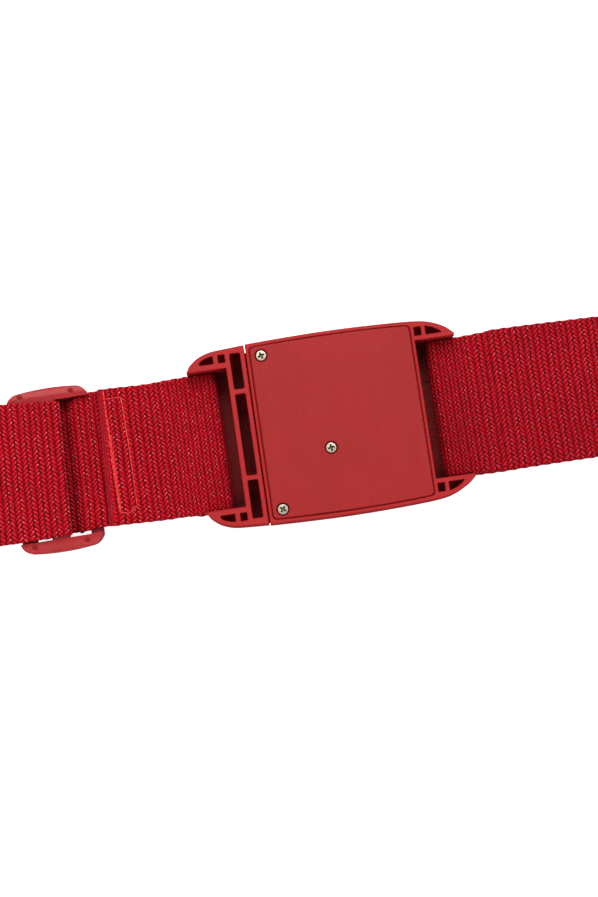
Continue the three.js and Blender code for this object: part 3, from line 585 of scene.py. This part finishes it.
def strip(name, path, side, u0=0.0, step=0.36, across=0.36, relief=0.36, mat=None, cut_start=0.0, under_relief=0.0, edge=1.0, end_ply=False, crowd=None):
    """One run of webbing along path (x, z), closed, with woven relief on the side that shows.
    side 1 shows the left of the direction of travel. cut_start is the length of the heat-cut band at the start.
    From the length crowd on, the weave is pushed closer together."""
    seg = np.hypot(*np.diff(path, axis=0).T)
    s = np.concatenate([[0], np.cumsum(seg)])
    tangent = np.gradient(path, axis=0)
    tangent /= np.hypot(tangent[:, 0], tangent[:, 1])[:, None]
    kernel = 3
    padded = np.pad(tangent, ((kernel, kernel), (0, 0)), mode="edge")
    tangent = sum(padded[k:k + len(tangent)] for k in range(2 * kernel + 1))
    tangent /= np.hypot(tangent[:, 0], tangent[:, 1])[:, None]
    n = max(3, int(round(s[-1] / step)) + 1)
    ss = np.linspace(0, s[-1], n)
    cx, cz = np.interp(ss, s, path[:, 0]), np.interp(ss, s, path[:, 1])
    tx, tz = np.interp(ss, s, tangent[:, 0]), np.interp(ss, s, tangent[:, 1])
    norm = np.column_stack([-tz, tx]) * side
    norm /= np.hypot(norm[:, 0], norm[:, 1])[:, None]
    half = WEB_W / 2
    r = 0.85
    inner_q = np.linspace(-(half - r), half - r, max(4, int(round((2 * half - 2 * r) / across)) + 1))
    rim = half - r + r * np.sin(np.radians([22, 45, 66, 90]))
    q = np.concatenate([-rim[::-1], inner_q, rim])
    coarse = np.concatenate([-rim[::-1][1:], np.linspace(-(half - r), half - r, 13), rim[:-1]])
    uu = ss + u0

    def profile(v):
        return np.sqrt(np.clip(1 - (np.clip(np.abs(v) - (half - r), 0, r) / r) ** 2, 0, 1))

    def surface(v, sign, depth):
        U, V = np.meshgrid(uu, v, indexing="ij")
        e = profile(V)
        W = U
        if crowd is not None:
            past = np.maximum(U - u0 - crowd, 0)
            W = U + 0.45 * (past - 4 * (1 - np.exp(-past / 4)))
        h = weave_height(W, V) if depth > 0 else np.ones_like(U)
        fade = np.ones_like(U)
        if cut_start:
            fade = 0.45 + 0.55 * np.clip((U - u0 - cut_start) / 0.6, 0, 1)
            h = np.where(U - u0 < cut_start, 0.5 * h + 0.5 * (0.5 + 0.5 * np.sin((U - u0) * 2 * np.pi / 0.92)), h)
            thin = 1 - 0.35 * np.clip(1 - (U - u0) / 0.5, 0, 1)
        else:
            thin = 1.0
        wob = 0.12 * np.sin(U * 2 * np.pi / (2 * PU)) * (np.abs(V) > half - 2.2) * np.sign(V) * edge
        wob = wob + 0.22 * swell(U * 1.0 + 40, np.sign(V) * 30) * np.abs(V / half) ** 8 * np.sign(V) * edge
        d = sign * (WEB_T / 2 * e * thin - depth * (1 - h) * e * fade)
        d = d + 0.09 * swell(U, V)
        X = cx[:, None] + norm[:, 0][:, None] * d
        Z = cz[:, None] + norm[:, 1][:, None] * d
        if cut_start:        # the end is cut a little askew
            X = X + np.clip(1 - (U - u0) / 9.0, 0, 1) * 0.042 * V
        Y = (V + wob) * width(X, end_ply) / WEB_W
        dr, sl = drift(X, end_ply) + lower_shift(X, cz[:, None]), slant(X)
        return np.stack([X + sl * (Y + dr - SL_CY), Y + dr, np.maximum(Z, 0.03)], -1), np.stack([W * MM, V * MM], -1)

    top, uv_top = surface(q, 1, relief)
    low, uv_low = surface(coarse, -1, under_relief)
    nt_, nl = len(q), len(coarse)
    verts = np.concatenate([top.reshape(-1, 3), low.reshape(-1, 3)])
    uv = np.concatenate([uv_top.reshape(-1, 2), uv_low.reshape(-1, 2)])
    i, j = np.meshgrid(np.arange(n - 1), np.arange(nt_ - 1), indexing="ij")
    a = i * nt_ + j
    quads = np.stack([a, a + nt_, a + nt_ + 1, a + 1], -1).reshape(-1, 4)
    base = n * nt_
    # underside grid, sharing the two selvedge rows with the top
    cols = [np.arange(n) * nt_] + [base + np.arange(n) * nl + k for k in range(nl)] + [np.arange(n) * nt_ + nt_ - 1]
    cols = np.array(cols)
    under = np.stack([cols[:-1, :-1], cols[1:, :-1], cols[1:, 1:], cols[:-1, 1:]], -1).reshape(-1, 4)
    faces = quads.tolist() + under.tolist()
    mats = [0] * len(faces)
    if cut_start:
        k = int(cut_start / (ss[1] - ss[0]))
        cutm = (i < k).reshape(-1)
        mats = cutm.astype(int).tolist() + [0] * len(under)
    for end in (0, n - 1):
        loop = [end * nt_ + k for k in range(nt_)] + [int(cols[k][end]) for k in range(nl, 0, -1)]
        faces.append(loop)
        mats.append(1 if (cut_start and end == 0) else 0)
    mats_list = [mat or web_uv] + ([web_melt] if cut_start else [])
    o = add_mesh(name, verts, faces, mats_list, uv=uv, face_mats=mats)
    bm = bmesh.new()
    bm.from_mesh(o.data)
    bmesh.ops.recalc_face_normals(bm, faces=bm.faces)
    bm.to_mesh(o.data)
    bm.free()
    o["strip_length_mm"] = float(s[-1])
    return o


def on_body(o, body, replaces=()):
    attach(o, body)
    if replaces:
        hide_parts(*replaces)
    return o


FINE = 0.34
total = {}
# sewn loop round the insert bar; its ply under the end ply stops where the adjusting run begins
p = joined(run(z_b, -84.15, INSERT_WRAP_X - 0.5), arc(INSERT_WRAP_X, BAR_Z, WRAP_R, 90, -90), run(z_a, INSERT_WRAP_X - 0.5, -46))
insert_loop = on_body(strip("webbing_insert_loop_cloth", p, 1, u0=0, step=FINE, across=FINE, cut_start=1.75, end_ply=True, crowd=25.0), "insert", ["webbing_insert_loop"])
p = run(z_a, -46, -84.0)
adjust_run = strip("webbing_adjusting_run_cloth", p, -1, u0=60, step=0.9, across=0.9, relief=0.0, mat=web_xy)
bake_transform(adjust_run)
# through the slider
p = run(z_a, -84.0, -122.0)
through = on_body(strip("webbing_through_slider_cloth", p, -1, u0=110, step=FINE, across=FINE), "slider", ["webbing_through_slider"])
tail = offset(run(z_a, NOSE_X, -135), -STEP)
p = joined(run(z_c, -137, NOSE_X - 0.5), arc(NOSE_X, (C_TOP + UP_OUT) / 2, (C_TOP - UP_OUT) / 2, 90, -90), tail[2:])
slider_loop = on_body(strip("webbing_slider_loop_cloth", p, 1, u0=200, step=FINE, across=FINE), "slider", ["webbing_slider_loop"])


def left_upper(z_up):
    return lambda x: z_up + end_lift(x)


ANCHOR = -240.0
inner_run = run(lambda x: z_a(x) + end_lift(x), -122.0, ANCHOR)
outer_run = run(lambda x: z_c(x) + end_lift(x), -137.0, ANCHOR)
left_inner = on_body(strip("webbing_left_run_inner_cloth", inner_run, -1, u0=150, step=0.7, across=0.6), "insert", ["webbing_left_run_inner"])
left_outer = on_body(strip("webbing_left_run_outer_cloth", outer_run, -1, u0=260, step=0.45, across=0.45), "insert", ["webbing_left_run_outer"])
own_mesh(left_inner)
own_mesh(left_outer)
for name, z_up, z_low, r in (("inner", UP_IN, Z_IN, FOLD_R_IN), ("outer", UP_OUT, Z_OUT, FOLD_R_IN + STEP)):
    up = lambda x: z_up + end_lift(x)
    path = joined(
        run(up, ANCHOR, -242), arc(-FOLD_X, FOLD_Z, r, 90, 270, 30),
        run(lambda x: ramp(x, -FOLD_X, -(FOLD_X - 20), FOLD_Z - r, z_low), -FOLD_X + 0.4, -(FOLD_X - 20)),
        run(lambda x: np.full_like(x, z_low), -(FOLD_X - 20) + 2, FOLD_X - 22, 2.0),
        run(lambda x: ramp(x, FOLD_X - 20, FOLD_X, z_low, FOLD_Z - r), FOLD_X - 20, FOLD_X - 0.4),
        arc(FOLD_X, FOLD_Z, r, -90, 90, 30), run(up, 242, 205))
    o = strip(f"webbing_return_{name}_cloth", path, -1, u0=400 if name == "inner" else 1000, step=0.6 if name == "outer" else 1.2, across=0.6 if name == "outer" else 1.2, relief=0.34, under_relief=0.0, mat=web_turn)
    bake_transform(o)
    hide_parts(f"webbing_left_{name}", f"webbing_right_{name}")
p = run(lambda x: z_e(x) + end_lift(x), 60.0, 205)
right_inner = on_body(strip("webbing_right_run_inner_cloth", p, 1, u0=1500, step=0.8, across=0.7, mat=web_right), "housing")
p = run(lambda x: z_d(x) + end_lift(x), 60.0, 205)
right_outer = on_body(strip("webbing_right_run_outer_cloth", p, 1, u0=1600.0, step=0.36, across=0.36, mat=web_right), "housing")
p = joined(run(z_d, 60, HOUSING_WRAP_X + 0.5), arc(HOUSING_WRAP_X, BAR_Z, WRAP_R, 90, 270), run(z_e, HOUSING_WRAP_X + 0.5, 60))
housing_loop = on_body(strip("webbing_housing_loop_cloth", p, -1, u0=-1600.0, step=FINE, across=FINE, mat=web_right, crowd=6.5), "housing", ["webbing_housing_loop"])


# ---------------------------------------------------------------- stitching
def stitches(name, lines, top, length=3.1, seed=3, end_ply=False):
    """Sewn lines laid on the webbing; each stitch is its own strand that dips in at both ends."""
    rnd = np.random.RandomState(seed)
    verts, faces, uv = [], [], []
    ring, along = 8, 9
    for (x0, y0), (x1, y1), rad in lines:
        L = math.hypot(x1 - x0, y1 - y0)
        count = max(1, int(round(L / length)))
        dx, dy = (x1 - x0) / L, (y1 - y0) / L
        for k in range(count):
            a, b = L * k / count, L * (k + 1) / count
            sway = rnd.uniform(-0.12, 0.12)
            start = len(verts)
            for i in range(along):
                t = i / (along - 1)
                d = a + (b - a) * (-0.01 + 1.02 * t)
                bow = math.sin(math.pi * t)
                px = x0 + dx * d + -dy * sway * bow
                py = y0 + dy * d + dx * sway * bow
                rr = rad * (0.72 + 0.28 * bow ** 0.5)
                dr, sl = float(drift(np.array(px), end_ply)), float(slant(np.array(px)))
                zc = float(top(np.array(px))) + WEB_T / 2 - 0.26 + 0.30 * bow ** 0.4
                cx_, cy_ = px + sl * (py + dr - SL_CY), py + dr
                for q in range(ring):
                    w = 2 * math.pi * q / ring
                    verts.append((cx_ - dy * rr * math.cos(w), cy_ + dx * rr * math.cos(w), zc + 0.8 * rr * math.sin(w)))
                    uv.append((d * MM, q / ring))
            for i in range(along - 1):
                for q in range(ring):
                    q1 = (q + 1) % ring
                    faces.append((start + i * ring + q, start + i * ring + q1, start + (i + 1) * ring + q1, start + (i + 1) * ring + q))
            faces.append(tuple(start + q for q in reversed(range(ring))))
            faces.append(tuple(start + (along - 1) * ring + q for q in range(ring)))
    o = add_mesh(name, verts, faces, [thread], uv=uv)
    bm = bmesh.new()
    bm.from_mesh(o.data)
    bmesh.ops.recalc_face_normals(bm, faces=bm.faces)
    bm.to_mesh(o.data)
    bm.free()
    return o


box_lines = [
    ((-80.96, 24.3), (-80.92, 14.0), 0.34), ((-80.92, 14.0), (-80.95, 0.0), 0.42), ((-80.95, 0.0), (-80.70, -20.6), 0.46),
    ((-80.45, 8.0), (-80.35, -19.5), 0.30),
    ((-74.80, 21.3), (-74.50, 9.0), 0.30), ((-74.50, 9.0), (-74.32, -3.0), 0.30), ((-74.32, -3.0), (-74.28, -18.7), 0.22),
    ((-80.7, 21.3), (-74.8, 21.4), 0.20), ((-80.6, -20.6), (-77.3, -21.2), 0.24), ((-77.3, -21.2), (-74.3, -18.8), 0.24)]
stitch_insert = on_body(stitches("stitching_insert_loop", box_lines, z_b, end_ply=True), "insert", ["stitch_insert_loop"])
tail_lines = [((-132.6, 20.6), (-132.6, -20.4), 0.36), ((-125.4, 20.6), (-125.4, -20.4), 0.36), ((-132.6, 20.6), (-125.4, 20.6), 0.3), ((-132.6, -20.4), (-125.4, -20.4), 0.3)]
stitch_tail = on_body(stitches("stitching_slider_loop", tail_lines, z_c, seed=5), "slider", ["stitch_slider_loop"])


# ---------------------------------------------------------------- screws
def screw(i, x, y, angle):
    """Countersunk head with a cross recess and a turned shank."""
    rings = [0.0001] + list(np.linspace(0.08, 1.30, 17)) + [1.45, 1.6, 1.72, 1.78, 1.82]
    seg = 96
    ca, sa = math.cos(angle), math.sin(angle)

    def top_z(px, py):
        qx, qy = px * ca + py * sa, -px * sa + py * ca
        r = math.hypot(px, py)
        z = 19.66 - 0.10 * (r / 1.82) ** 2
        arm = 0.0
        for a, b in ((qx, qy), (qy, qx)):
            w = 0.30 - 0.06 * abs(a) / 1.2
            inside = max(0.0, min(1.0, (w - abs(b)) / 0.09 + 0.5)) * max(0.0, min(1.0, (1.18 - abs(a)) / 0.12 + 0.5))
            arm = max(arm, inside)
        core = max(0.0, min(1.0, (0.50 - r) / 0.12 + 0.5))
        depth = 0.95 + 0.25 * core
        return z - depth * max(arm, core)

    verts, faces = [(x, y, top_z(0, 0))], []
    for r in rings[1:]:
        for k in range(seg):
            t = 2 * math.pi * k / seg
            px, py = r * math.cos(t), r * math.sin(t)
            verts.append((x + px, y + py, top_z(px, py) - (0.05 if r > 1.80 else 0)))
    lower = [(1.82, 19.30), (0.98, 18.42), (0.95, 18.2)]
    z = 18.2
    while z > 12.6:
        lower += [(0.95, z - 0.15), (0.74, z - 0.4), (0.74, z - 0.5), (0.95, z - 0.75)]
        z -= 0.8
    lower += [(0.7, 11.7), (0.25, 11.2)]
    for r, zz in lower:
        for k in range(seg):
            t = 2 * math.pi * k / seg
            verts.append((x + r * math.cos(t), y + r * math.sin(t), zz))
    tip = len(verts)
    verts.append((x, y, 11.05))
    n = len(rings) - 1 + len(lower)
    for k in range(seg):
        faces.append((0, 1 + k, 1 + (k + 1) % seg))
    for j in range(n - 1):
        for k in range(seg):
            a, b = 1 + j * seg + k, 1 + j * seg + (k + 1) % seg
            faces.append((a, a + seg, b + seg, b))
    for k in range(seg):
        faces.append((1 + (n - 1) * seg + (k + 1) % seg, 1 + (n - 1) * seg + k, tip))
    o = add_mesh(f"screw_{i}", verts, faces, [screw_metal, recess_shade_metal], smooth=True)
    # painted shade: the faces of the cross recess get the dark metal
    for poly in o.data.polygons:
        c = poly.center / MM
        if 0.24 < math.hypot(c.x - x, c.y - y) < 1.35 and c.z < 19.48:
            poly.material_index = 1
    fix_normals(o, 38)
    return on_body(o, "housing", [f"cover_screw_{i}"])


SCREWS = [(-21.9, 27.85, 0.35), (-22.05, -28.15, 0.9), (-1.75, -8.75, 0.15)]
for i, (x, y, a) in enumerate(SCREWS, 1):
    screw(i, x, y, a)

# ---------------------------------------------------------------- moulded parts
refine("housing_shell", frame_red, 0.32)


def plate(name, loop, holes, z0, z1, fillet, mats, steps=4):
    """A flat plate with a rounded upper edge and countersunk round holes (x, y, [(radius, z), ...] from the top down)."""
    loop = np.asarray(loop, float)
    edge = np.roll(loop, -1, 0) - np.roll(loop, 1, 0)
    outward = np.column_stack([edge[:, 1], -edge[:, 0]]) / np.hypot(edge[:, 0], edge[:, 1])[:, None]
    if np.sum(loop[:, 0] * np.roll(loop[:, 1], -1) - np.roll(loop[:, 0], -1) * loop[:, 1]) < 0:
        outward = -outward
    verts, faces = [], []
    n = len(loop)
    rows = []
    for k in range(steps + 1):
        t = math.pi / 2 * k / steps
        rows.append((-fillet * (1 - math.sin(t)), z1 - fillet * (1 - math.cos(t))))
    rows += [(0.0, z1 - 0.34), (0.34, z1 - 0.38), (0.34, z0)]       # a ledge closes the joint below
    for d, z in rows:
        verts += [(x, y, z) for x, y in loop + outward * d]
    for r in range(len(rows) - 1):
        for i in range(n):
            j = (i + 1) % n
            faces.append((r * n + i, (r + 1) * n + i, (r + 1) * n + j, r * n + j))
    top_loops, low_loops = [list(range(n))], [list(range((len(rows) - 1) * n, len(rows) * n))]
    seg = 48
    for hx, hy, profile in holes:
        start = len(verts)
        for r, z in profile:
            verts += [(hx + r * math.cos(2 * math.pi * k / seg), hy + r * math.sin(2 * math.pi * k / seg), z) for k in range(seg)]
        for p in range(len(profile) - 1):
            for k in range(seg):
                k1 = (k + 1) % seg
                faces.append((start + p * seg + k, start + p * seg + k1, start + (p + 1) * seg + k1, start + (p + 1) * seg + k))
        top_loops.append(list(range(start, start + seg)))
        low_loops.append(list(range(start + (len(profile) - 1) * seg, start + len(profile) * seg)))
    for loops in (top_loops, low_loops):
        flat = [i for l in loops for i in l]
        for tri in tessellate_polygon([[Vector((verts[i][0], verts[i][1], 0)) for i in l] for l in loops]):
            faces.append(tuple(flat[i] for i in tri))
    o = add_mesh(name, verts, faces, mats, smooth=True)
    bm = bmesh.new()
    bm.from_mesh(o.data)
    bmesh.ops.recalc_face_normals(bm, faces=bm.faces)
    bmesh.ops.dissolve_limit(bm, angle_limit=math.radians(0.3), verts=bm.verts, edges=bm.edges)
    bm.to_mesh(o.data)
    bm.free()
    for p in o.data.polygons:
        p.use_smooth = True
    w = o.modifiers.new("normals", "WEIGHTED_NORMAL")
    w.weight = 100
    return o


edge_fit = np.polyfit([-27.25, -15, 0, 15, 30, 35], [32.7, 33.1, 33.35, 33.15, 32.55, 32.15], 4)
PLATE_GAP, PLATE_X = 0.40, (-26.15, 32.65)
px0, px1, corner = PLATE_X[0] + PLATE_GAP, PLATE_X[1] - PLATE_GAP, 1.5
half = []
for k in range(9):
    t = math.pi / 2 * k / 8
    half.append((px0 + corner * (1 - math.cos(t)), float(np.polyval(edge_fit, px0 + corner)) - 1.2 - PLATE_GAP - corner * (1 - math.sin(t))))
for x in np.linspace(px0 + corner, px1 - corner, 34)[1:-1]:
    half.append((x, float(np.polyval(edge_fit, x)) - 1.2 - PLATE_GAP))
for k in range(9):
    t = math.pi / 2 * (1 - k / 8)
    half.append((px1 - corner * (1 - math.cos(t)), float(np.polyval(edge_fit, px1 - corner)) - 1.2 - PLATE_GAP - corner * (1 - math.sin(t))))
sink = [(2.50, 19.80), (2.42, 19.77), (2.36, 19.66), (2.30, 19.30), (1.30, 18.35), (1.30, 18.0)]
cover = plate("cover_plate", half + [(x, -y) for x, y in reversed(half)],
              [(x, y, sink) for x, y, _ in SCREWS], 18.0, 19.8, 0.28, [red])
on_body(cover, "housing", ["back_cover"])
refine("insert_frame", frame_red, 0.32)
refine("slider", slider_red, 0.45, 4)
refine("release_button", button_red, 0.35)

SEGMENTS = {"a": (0, 1, 1, 1), "b": (1, 1, 1, 0), "c": (1, 0, 1, -1), "d": (0, -1, 1, -1), "e": (0, 0, 0, -1), "f": (0, 1, 0, 0), "g": (0, 0, 1, 0)}
DIGITS = ["abcdef", "bc", "abged", "abgcd", "fgbc", "afgcd", "afgecd", "abc", "abcdefg", "abcdfg"]


def dial(i, y0, start):
    """Number ring: a knurled grip band, a plain band with ten digits, and the bore for its hub."""
    cx, cz, half, bore, seg = 14.0, 10.8, 2.8, 3.2, 240
    rows = [(-2.8, 6.15, 0), (-2.6, 6.45, 1), (-2.2, 6.62, 1), (-0.9, 6.62, 1), (-0.65, 6.30, 0), (-0.5, 6.46, 0), (2.45, 6.46, 0), (2.65, 6.38, 0), (2.8, 6.1, 0)]
    verts, faces, tags = [], [], []
    for y, r, knurl in rows:
        for k in range(seg):
            t = 2 * math.pi * k / seg
            rr = r + (0.15 * math.cos(40 * t) if knurl else 0.0)
            verts.append((cx + rr * math.cos(t), y0 + y, cz + rr * math.sin(t)))
    n = len(rows)
    for y, r in ((2.8, bore + 0.25), (2.6, bore), (-2.6, bore), (-2.8, bore + 0.25)):
        for k in range(seg):
            t = 2 * math.pi * k / seg
            verts.append((cx + r * math.cos(t), y0 + y, cz + r * math.sin(t)))
    n += 4
    for j in range(n):
        j1 = (j + 1) % n
        for k in range(seg):
            k1 = (k + 1) % seg
            faces.append((j * seg + k, j * seg + k1, j1 * seg + k1, j1 * seg + k))
            tags.append(0)
    high, wide, thick = 1.25, 1.35, 0.19     # half height round the ring, width along the axle, half stroke
    for d in range(10):
        centre = math.radians(-90 + 36 * (d - start))
        for name in DIGITS[d]:
            xa, ya, xb, yb = SEGMENTS[name]
            p0 = min(xa, xb) * wide - thick, max(xa, xb) * wide + thick
            p1 = min(ya, yb) * high - thick, max(ya, yb) * high + thick
            cuts = 5
            base = len(verts)
            for c in range(cuts + 1):
                u = p1[0] + (p1[1] - p1[0]) * c / cuts
                t = centre + u / 6.5
                for v, r in ((p0[0], 6.36), (p0[1], 6.36), (p0[1], 6.53), (p0[0], 6.53)):
                    y = y0 + 0.3 + v
                    verts.append((cx + r * math.cos(t), y, cz + r * math.sin(t)))
            for c in range(cuts):
                for e in range(4):
                    a, b = base + c * 4 + e, base + c * 4 + (e + 1) % 4
                    faces.append((a, b, b + 4, a + 4))
                    tags.append(1)
            faces += [(base + 3, base + 2, base + 1, base), tuple(base + cuts * 4 + e for e in range(4))]
            tags += [1, 1]
    o = add_mesh(f"dial_ring_{i}", verts, faces, [dial_black, digit_white], smooth=True, face_mats=tags)
    fix_normals(o, 32)
    return on_body(o, f"dial_{i}_ring", [f"dial_{i}"])


for i, (y, start) in enumerate(((9.0, 0), (0.0, 0), (-9.0, 0)), 1):
    dial(i, y, start)
for n in ("dial_hub_1", "dial_hub_2", "dial_hub_3"):
    refine(n, brass, 0.1, 2, 25)
for n in ("dial_axle", "dial_cradle", "detent_spring", "release_comb", "code_set_pin"):
    refine(n, steel, 0.1, 2, 25)


def coil_spring(name, x, y, z0, z1, r, wire, turns, replaced):
    """Compression spring with closed end coils, flattened towards its upper seat as the joint presses it."""
    steps, ring = int(turns * 40), 10
    verts, faces = [], []
    for k in range(steps + 1):
        f = k / steps
        t = 2 * math.pi * turns * f
        rise = f - 0.09 * math.sin(2 * math.pi * f)
        z = z0 + wire + (z1 - z0 - 2 * wire) * rise
        for e in range(ring):
            a = 2 * math.pi * e / ring
            verts.append((x + (r + wire * math.cos(a)) * math.cos(t), y + (r + wire * math.cos(a)) * math.sin(t), z + wire * math.sin(a)))
    for k in range(steps):
        for e in range(ring):
            a, b = k * ring + e, k * ring + (e + 1) % ring
            faces.append((a, b, b + ring, a + ring))
    faces += [tuple(reversed(range(ring))), tuple(steps * ring + e for e in range(ring))]
    o = add_mesh(name, verts, faces, [steel], smooth=True)
    fix_normals(o, 50)
    on_body(o, "housing", [replaced])
    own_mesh(o)
    return o


coil_spring("button_coil", 1.0, 9.7, 8.8, 17.7, 1.6, 0.26, 5, "button_spring")
coil_spring("code_set_coil", 26.9, 0.0, 9.3, 17.7, 1.3, 0.22, 5, "code_set_spring")


def catch_spring():
    """Sprung catch: a bent steel leaf with a ramped hook."""
    centre = [(-23.5, 14.5), (-19.6, 14.5), (-18.6, 14.3), (-17.6, 13.0), (-16.9, 12.1), (-16.2, 12.0), (-14.9, 12.0), (-14.35, 12.25), (-14.3, 13.2), (-14.1, 14.2), (-13.6, 14.5), (-5.2, 14.5)]
    xs, zs = [c[0] for c in centre], [c[1] for c in centre]
    pts = []
    for k in range(len(centre) - 1):
        for f in np.linspace(0, 1, 5)[:-1]:
            pts.append((xs[k] + (xs[k + 1] - xs[k]) * f, zs[k] + (zs[k + 1] - zs[k]) * f))
    pts.append(centre[-1])
    pts = np.array(pts)
    for _ in range(2):
        pts[1:-1] = (pts[:-2] + 2 * pts[1:-1] + pts[2:]) / 4
    t = np.gradient(pts, axis=0)
    t /= np.hypot(t[:, 0], t[:, 1])[:, None]
    nrm = np.column_stack([-t[:, 1], t[:, 0]]) * 0.28
    verts, faces = [], []
    sections = []
    for i, (p, n) in enumerate(zip(pts, nrm)):
        half = 4.5 - (0.9 if p[0] < -22.9 else 0.0)
        ring = []
        for sy, sn in ((-1, -1), (1, -1), (1, 1), (-1, 1)):
            for k in range(3):      # rounded long edges
                a = math.pi / 4 * k
                inset = 0.10 * (1 - (math.sin(a) if sy * sn > 0 else math.cos(a)))
                lift = 1 - 0.36 * (1 - (math.cos(a) if sy * sn > 0 else math.sin(a)))
                ring.append((p[0] + n[0] * sn * lift, sy * (half - inset), p[1] + n[1] * sn * lift))
        sections.append(len(verts))
        verts += ring
    m = 12
    for a, b in zip(sections, sections[1:]):
        for k in range(m):
            k1 = (k + 1) % m
            faces.append((a + k, a + k1, b + k1, b + k))
    faces += [tuple(reversed(range(m))), tuple(sections[-1] + k for k in range(m))]
    o = add_mesh("catch_spring", verts, faces, [steel], smooth=True)
    fix_normals(o, 30)
    on_body(o, "housing", ["catch_leaf"])
    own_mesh(o)
    return o


catch_spring()

# ---------------------------------------------------------------- floor and light
me = bpy.data.meshes.new("floor")
me.from_pydata([(-4, -4, 0), (4, -4, 0), (4, 4, 0), (-4, 4, 0)], [], [(0, 1, 2, 3)])
floor = bpy.data.objects.new("floor", me)
scene.collection.objects.link(floor)
m, nt, bsdf = material("studio_floor")
bsdf.inputs["Roughness"].default_value = 0.9
bsdf.inputs["Specular IOR Level"].default_value = 0.1
nt.links.new(mixed(nt, noise(nt, coords(nt), 3, 2), (0.55, 0.55, 0.55), (0.58, 0.58, 0.58)), bsdf.inputs["Base Color"])
bsdf.inputs["Emission Color"].default_value = (1, 1, 1, 1)
seen = Ex(nt, nt.nodes.new("ShaderNodeLightPath").outputs["Is Camera Ray"]) * 0.85
nt.links.new(seen.v, bsdf.inputs["Emission Strength"])
me.materials.append(m)

world = bpy.data.worlds.new("studio")
scene.world = world
world.use_nodes = True
bg = world.node_tree.nodes["Background"]
bg.inputs["Color"].default_value = (1, 1, 1, 1)
wt = world.node_tree
sky = wt.nodes.new("ShaderNodeSeparateXYZ")
wt.links.new(wt.nodes.new("ShaderNodeTexCoord").outputs["Generated"], sky.inputs[0])
# soft walls all round, darker overhead
dome = Ex(wt, sky.outputs["Z"]).ramp(0.40, 0.95) * -0.92 + 1.06
wt.links.new(dome.v, bg.inputs["Strength"])


def area_light(name, at, aim, size, power):
    d = bpy.data.lights.new(name, "AREA")
    d.shape = "RECTANGLE"
    d.size, d.size_y = size
    d.energy = power
    o = bpy.data.objects.new(name, d)
    scene.collection.objects.link(o)
    o.location = at
    o.rotation_mode = "QUATERNION"
    o.rotation_quaternion = (Vector(aim) - Vector(at)).to_track_quat("-Z", "Y")
    return o


area_light("key", (0.10, 0.75, 0.85), (0, 0, 0.01), (1.0, 0.7), 9.0)
area_light("fill", (-0.5, -0.5, 1.0), (0, 0, 0.01), (0.9, 0.9), 2.2)
